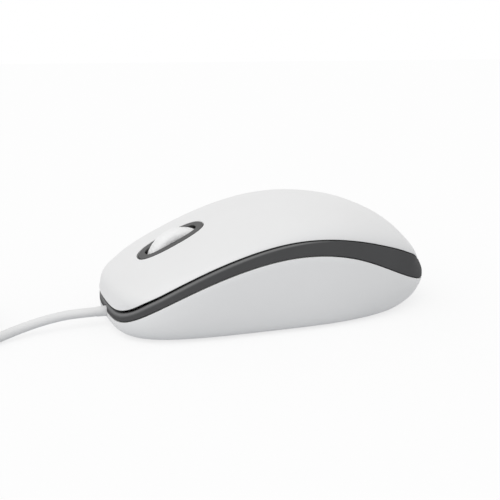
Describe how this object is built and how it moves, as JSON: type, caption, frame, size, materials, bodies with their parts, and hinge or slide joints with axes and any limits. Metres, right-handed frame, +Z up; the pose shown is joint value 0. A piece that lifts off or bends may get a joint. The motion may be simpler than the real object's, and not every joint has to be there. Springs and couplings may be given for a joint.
{
  "type": "corded computer mouse",
  "caption": "Low domed corded mouse with flexing click buttons, a scroll wheel that turns and clicks, a grey side band and a coiled plug cord.",
  "frame": {"origin": "on the desk under the middle of the mouse body, between the feet", "axes": "+Y towards the cord end, +X to the user's right, +Z up"},
  "size_m": [0.0622, 0.2595, 0.039],
  "materials": {
    "white_shell": "fine satin moulding, white",
    "grey_band": "satin moulding, dark grey",
    "grey_trim": "satin moulding, mid grey",
    "white_rubber": "soft matt, white",
    "white_cord": "smooth cord jacket, white",
    "black_moulding": "plain moulding, black",
    "red_moulding": "plain moulding, red",
    "clear_moulding": "clear polished moulding",
    "green_laminate": "circuit board laminate",
    "slick_pad": "slick low-friction pad",
    "steel": "plated steel"
  },
  "bodies": {
    "housing": {"bottom_case": "white_shell", "side_band": "grey_band", "palm_cover": "white_shell", "wheel_surround": "grey_trim", "circuit_board": "green_laminate", "left_switch_case": "black_moulding", "right_switch_case": "black_moulding", "click_switch_case": "black_moulding", "sensor_chip": "black_moulding", "sensor_lens": "clear_moulding", "tracking_lamp": "red_moulding", "lamp_clip": "black_moulding", "scroll_emitter": "black_moulding", "scroll_detector": "black_moulding", "lead_connector": "white_rubber", "capacitor": "black_moulding", "case_screw": "steel", "carrier_pin": "steel", "inner_lead": "black_moulding", "front_foot": "slick_pad", "rear_foot": "slick_pad", "strain_relief": "white_cord", "cord_run": "white_cord", "cord_coil": "white_cord", "cord_tail": "white_cord", "coil_tie": "white_cord", "plug_body": "white_cord", "plug_shell": "steel", "plug_tongue": "black_moulding"},
    "left_button": {"left_button": "white_shell"},
    "right_button": {"right_button": "white_shell"},
    "left_plunger": {"left_switch_plunger": "red_moulding"},
    "right_plunger": {"right_switch_plunger": "red_moulding"},
    "carrier": {"wheel_carrier": "black_moulding"},
    "wheel": {"wheel_hub": "white_rubber", "wheel_tyre": "white_rubber"},
    "click_plunger": {"click_switch_plunger": "red_moulding"}
  },
  "joints": [
    {"name": "left_press", "type": "hinge", "parent": "housing", "child": "left_button", "pos_m": [0, -0.01, 0.033], "axis": [-1, 0, 0], "range_deg": [0, 0.517], "stiffness_Nm_per_rad": 1, "springref_deg": -1.15},
    {"name": "left_plunger_slide", "type": "slide", "parent": "housing", "child": "left_plunger", "axis": [0, 0, -1], "range_m": [0, 0.0005]},
    {"name": "right_press", "type": "hinge", "parent": "housing", "child": "right_button", "pos_m": [0, -0.01, 0.033], "axis": [-1, 0, 0], "range_deg": [0, 0.517], "stiffness_Nm_per_rad": 1, "springref_deg": -1.15},
    {"name": "right_plunger_slide", "type": "slide", "parent": "housing", "child": "right_plunger", "axis": [0, 0, -1], "range_m": [0, 0.0005]},
    {"name": "wheel_click", "type": "hinge", "parent": "housing", "child": "carrier", "pos_m": [0, 0.01259, 0.014], "axis": [-1, 0, 0], "range_deg": [0, 1.59], "stiffness_Nm_per_rad": 0.5, "springref_deg": -1.72},
    {"name": "wheel_spin", "type": "hinge", "parent": "carrier", "child": "wheel", "pos_m": [0, 0.03059, 0.01831], "axis": [-1, 0, 0], "continuous": true},
    {"name": "click_plunger_slide", "type": "slide", "parent": "housing", "child": "click_plunger", "axis": [0, 0, -1], "range_m": [0, 0.0003]}
  ],
  "couplings": [
    {"joint": "left_plunger_slide", "follows": "left_press", "m_per_rad": 0.0495},
    {"joint": "right_plunger_slide", "follows": "right_press", "m_per_rad": 0.0495},
    {"joint": "click_plunger_slide", "follows": "wheel_click", "m_per_rad": 0.008}
  ]
}
